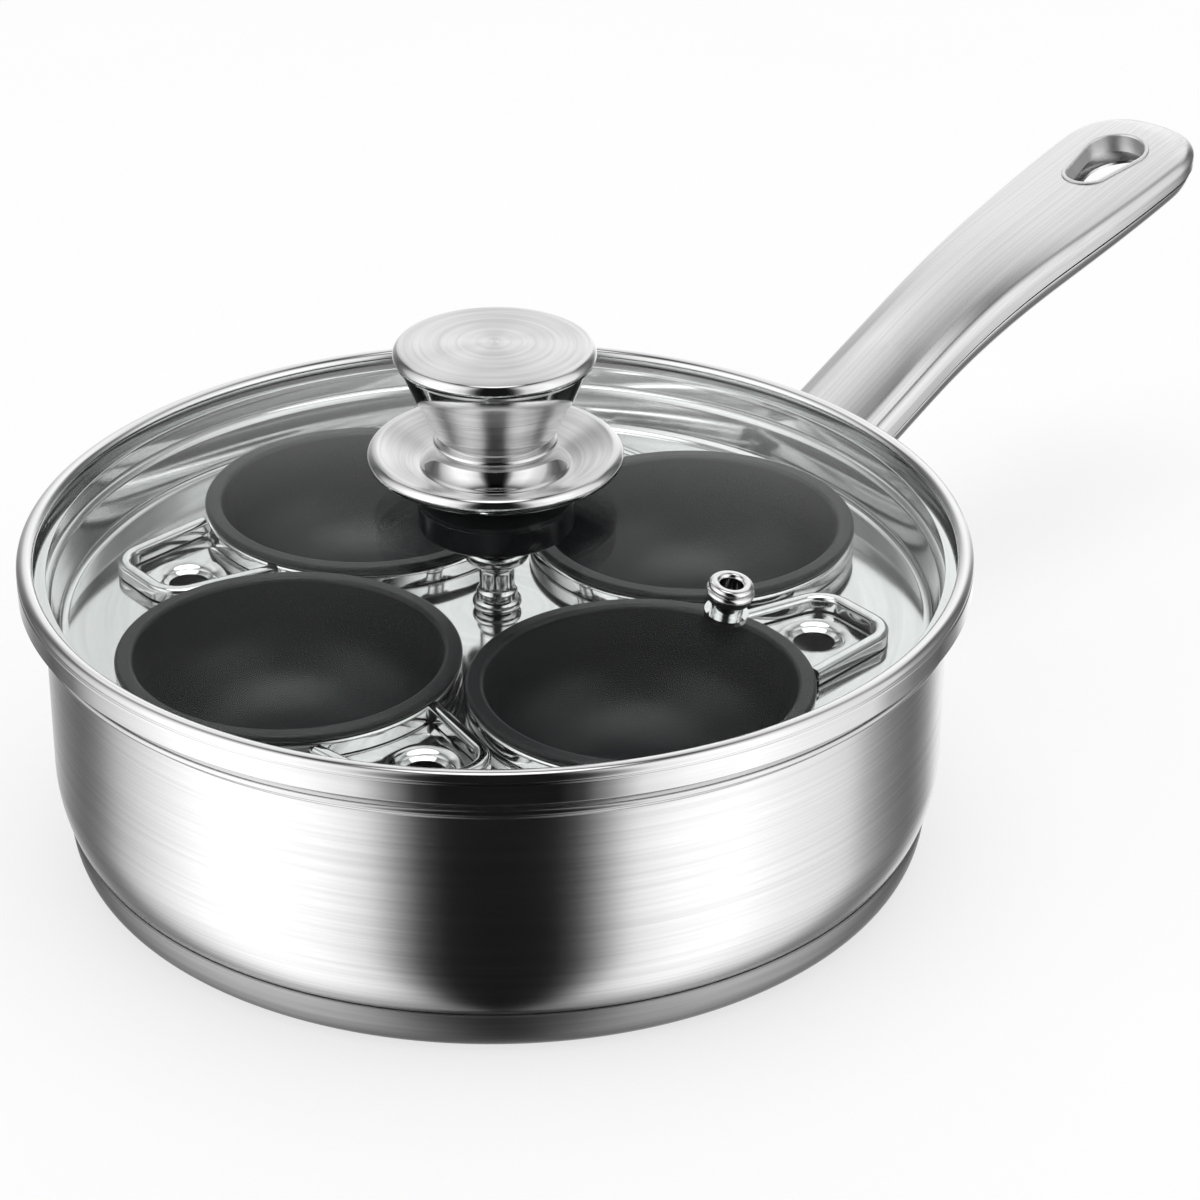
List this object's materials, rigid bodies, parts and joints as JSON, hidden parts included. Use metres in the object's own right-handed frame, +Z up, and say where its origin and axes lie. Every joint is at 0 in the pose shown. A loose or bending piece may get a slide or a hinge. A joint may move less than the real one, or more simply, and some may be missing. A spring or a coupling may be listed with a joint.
{
  "type": "egg poacher pan",
  "caption": "Steel pan with a hollow handle, a lift-out tray of coated egg cups on looped rings, and a domed glass lid with a steel rim, vent and knob.",
  "frame": {"origin": "on the pan's axis, on the face that rests on the hob or worktop", "axes": "+Z up along the pan's axis, +X along the handle"},
  "size_m": [0.3712, 0.2108, 0.1182],
  "materials": {
    "pan_steel": "brushed round the wall, satin",
    "base_steel": "satin, darker than the wall",
    "base_aluminium": "plain, hidden in the base",
    "handle_steel": "brushed along its length",
    "bright_trim": "polished",
    "tray_steel": "near mirror, faint round brushing",
    "post_steel": "turned and polished",
    "fastener_steel": "plain bright steel",
    "cup_coating": "satin non-stick coating with fine speckle",
    "ring_steel": "polished",
    "lid_rim_steel": "polished, lightly satin",
    "lid_glass": "clear tempered glass",
    "black_silicone": "matt black",
    "knob_steel": "spun brushing",
    "washer_dark": "black, half gloss"
  },
  "bodies": {
    "pan": {"pan_body": "pan_steel", "base_core": "base_aluminium", "base_cap": "base_steel", "handle_saddle": "handle_steel", "handle_upper_shell": "handle_steel", "handle_lower_shell": "handle_steel", "hanging_slot_sleeve": "bright_trim"},
    "tray": {"tray_plate": "tray_steel", "lifting_post": "post_steel", "post_washer": "fastener_steel", "post_screw": "fastener_steel"},
    "cup_1": {"egg_cup_1": "cup_coating", "cup_ring_1": "ring_steel"},
    "cup_2": {"egg_cup_2": "cup_coating", "cup_ring_2": "ring_steel"},
    "cup_3": {"egg_cup_3": "cup_coating", "cup_ring_3": "ring_steel"},
    "cup_4": {"egg_cup_4": "cup_coating", "cup_ring_4": "ring_steel"},
    "lid": {"lid_band": "lid_rim_steel", "lid_glass": "lid_glass", "vent_eyelet": "bright_trim", "vent_gasket": "black_silicone", "vent_washer": "bright_trim", "knob_gasket": "black_silicone", "knob_base": "knob_steel", "knob_grip": "knob_steel", "knob_cap": "knob_steel", "inner_gasket": "black_silicone", "inner_washer": "washer_dark", "knob_screw": "fastener_steel"}
  },
  "joints": [
    {"name": "tray_lift", "type": "slide", "parent": "pan", "child": "tray", "axis": [0, 0, 1], "range_m": [0, 0.045]},
    {"name": "lid_lift", "type": "slide", "parent": "tray", "child": "lid", "axis": [0, 0, 1], "range_m": [0, 0.09]},
    {"name": "cup_1_lift", "type": "slide", "parent": "tray", "child": "cup_1", "axis": [0, 0, 1], "range_m": [0, 0.04]},
    {"name": "cup_2_lift", "type": "slide", "parent": "tray", "child": "cup_2", "axis": [0, 0, 1], "range_m": [0, 0.04]},
    {"name": "cup_3_lift", "type": "slide", "parent": "tray", "child": "cup_3", "axis": [0, 0, 1], "range_m": [0, 0.04]},
    {"name": "cup_4_lift", "type": "slide", "parent": "tray", "child": "cup_4", "axis": [0, 0, 1], "range_m": [0, 0.04]}
  ],
  "couplings": [
    {"joint": "cup_1_lift", "follows": "lid_lift", "ratio": 0.444},
    {"joint": "cup_2_lift", "follows": "lid_lift", "ratio": 0.444},
    {"joint": "cup_3_lift", "follows": "lid_lift", "ratio": 0.444},
    {"joint": "cup_4_lift", "follows": "lid_lift", "ratio": 0.444}
  ]
}
